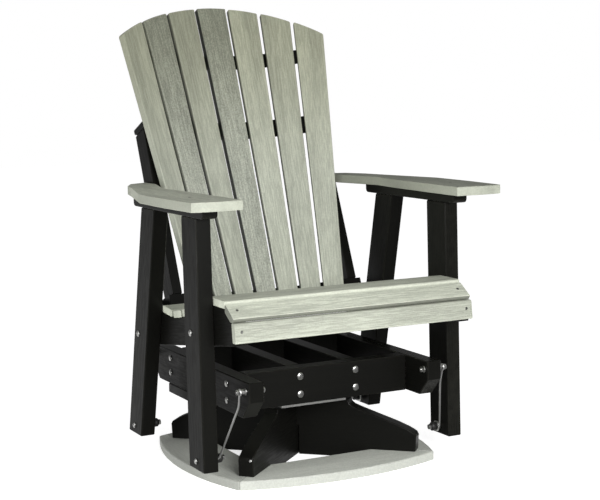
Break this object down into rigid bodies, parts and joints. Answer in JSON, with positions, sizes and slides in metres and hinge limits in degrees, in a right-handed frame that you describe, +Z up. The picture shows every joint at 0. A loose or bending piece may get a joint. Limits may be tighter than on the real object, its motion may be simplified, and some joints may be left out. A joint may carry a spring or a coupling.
{
  "type": "swivel glider",
  "caption": "Slatted outdoor armchair with a fanned back, hung on links from a frame that turns on a ring base.",
  "frame": {"origin": "on the floor, on the vertical axis about which the chair turns", "axes": "+Z up along the turning axis, -Y towards the front of the chair, +X to the right as seen from the front"},
  "size_m": [0.831, 0.8289, 1.1475],
  "materials": {
    "light_board": "matte plastic board with an embossed wood grain, pale grey-green",
    "grey_board": "matte plastic board with an embossed wood grain, darker grey",
    "black_board": "satin black plastic board",
    "bright_steel": "plain stainless steel"
  },
  "bodies": {
    "base": {"ring_board_front": "light_board", "ring_board_right": "light_board", "ring_board_rear": "light_board", "ring_board_left": "light_board", "pedestal_board_a": "black_board", "pedestal_board_b": "black_board", "swivel_base_plate": "bright_steel"},
    "glider_frame": {"swivel_top_plate": "bright_steel", "frame_rail_left": "black_board", "frame_rail_right": "black_board", "frame_block_left": "black_board", "frame_block_right": "black_board", "apron_front": "black_board", "apron_rear": "black_board", "beam_left": "black_board", "beam_right": "black_board", "top_pivot_bolt_front_left": "bright_steel", "top_pivot_bolt_front_right": "bright_steel", "top_pivot_bolt_rear_left": "bright_steel", "top_pivot_bolt_rear_right": "bright_steel"},
    "front_links": {"link_front_left": "bright_steel", "link_front_right": "bright_steel"},
    "rear_links": {"link_rear_left": "bright_steel", "link_rear_right": "bright_steel"},
    "chair": {"lower_pivot_bolt_front_left": "bright_steel", "lower_pivot_bolt_front_right": "bright_steel", "lower_pivot_bolt_rear_left": "bright_steel", "lower_pivot_bolt_rear_right": "bright_steel", "leg_front_left": "black_board", "leg_front_right": "black_board", "leg_rear_left": "black_board", "leg_rear_right": "black_board", "arm_cleat_left": "black_board", "arm_cleat_right": "black_board", "arm_left": "light_board", "arm_right": "light_board", "seat_rail_left": "black_board", "seat_rail_right": "black_board", "seat_slat_1": "light_board", "seat_slat_2": "light_board", "seat_slat_3": "light_board", "seat_slat_4": "light_board", "seat_slat_5": "light_board", "seat_slat_6": "light_board", "seat_slat_7": "light_board", "seat_slat_8": "light_board", "back_post_left": "black_board", "back_post_right": "black_board", "back_rail_bottom": "black_board", "back_rail_lower": "black_board", "back_rail_upper": "black_board", "back_slat_1": "light_board", "back_slat_2": "grey_board", "back_slat_3": "light_board", "back_slat_4": "grey_board", "back_slat_5": "light_board", "back_slat_6": "light_board", "back_slat_7": "light_board"}
  },
  "joints": [
    {"name": "swivel", "type": "hinge", "parent": "base", "child": "glider_frame", "pos_m": [0, 0, 0], "axis": [0, 0, 1], "continuous": true},
    {"name": "glide", "type": "hinge", "parent": "glider_frame", "child": "front_links", "pos_m": [0, -0.28, 0.2412], "axis": [1, 0, 0], "range_deg": [-12, 12]},
    {"name": "seat_level", "type": "hinge", "parent": "front_links", "child": "chair", "pos_m": [0, -0.202, 0.072], "axis": [1, 0, 0], "range_deg": [-16.7, 16.7]},
    {"name": "rear_swing", "type": "hinge", "parent": "glider_frame", "child": "rear_links", "pos_m": [0, 0.28, 0.2412], "axis": [1, 0, 0], "range_deg": [-12.1, 12.1]}
  ],
  "couplings": [
    {"joint": "seat_level", "follows": "glide", "ratio": -1.3827},
    {"joint": "rear_swing", "follows": "glide", "ratio": 1}
  ]
}
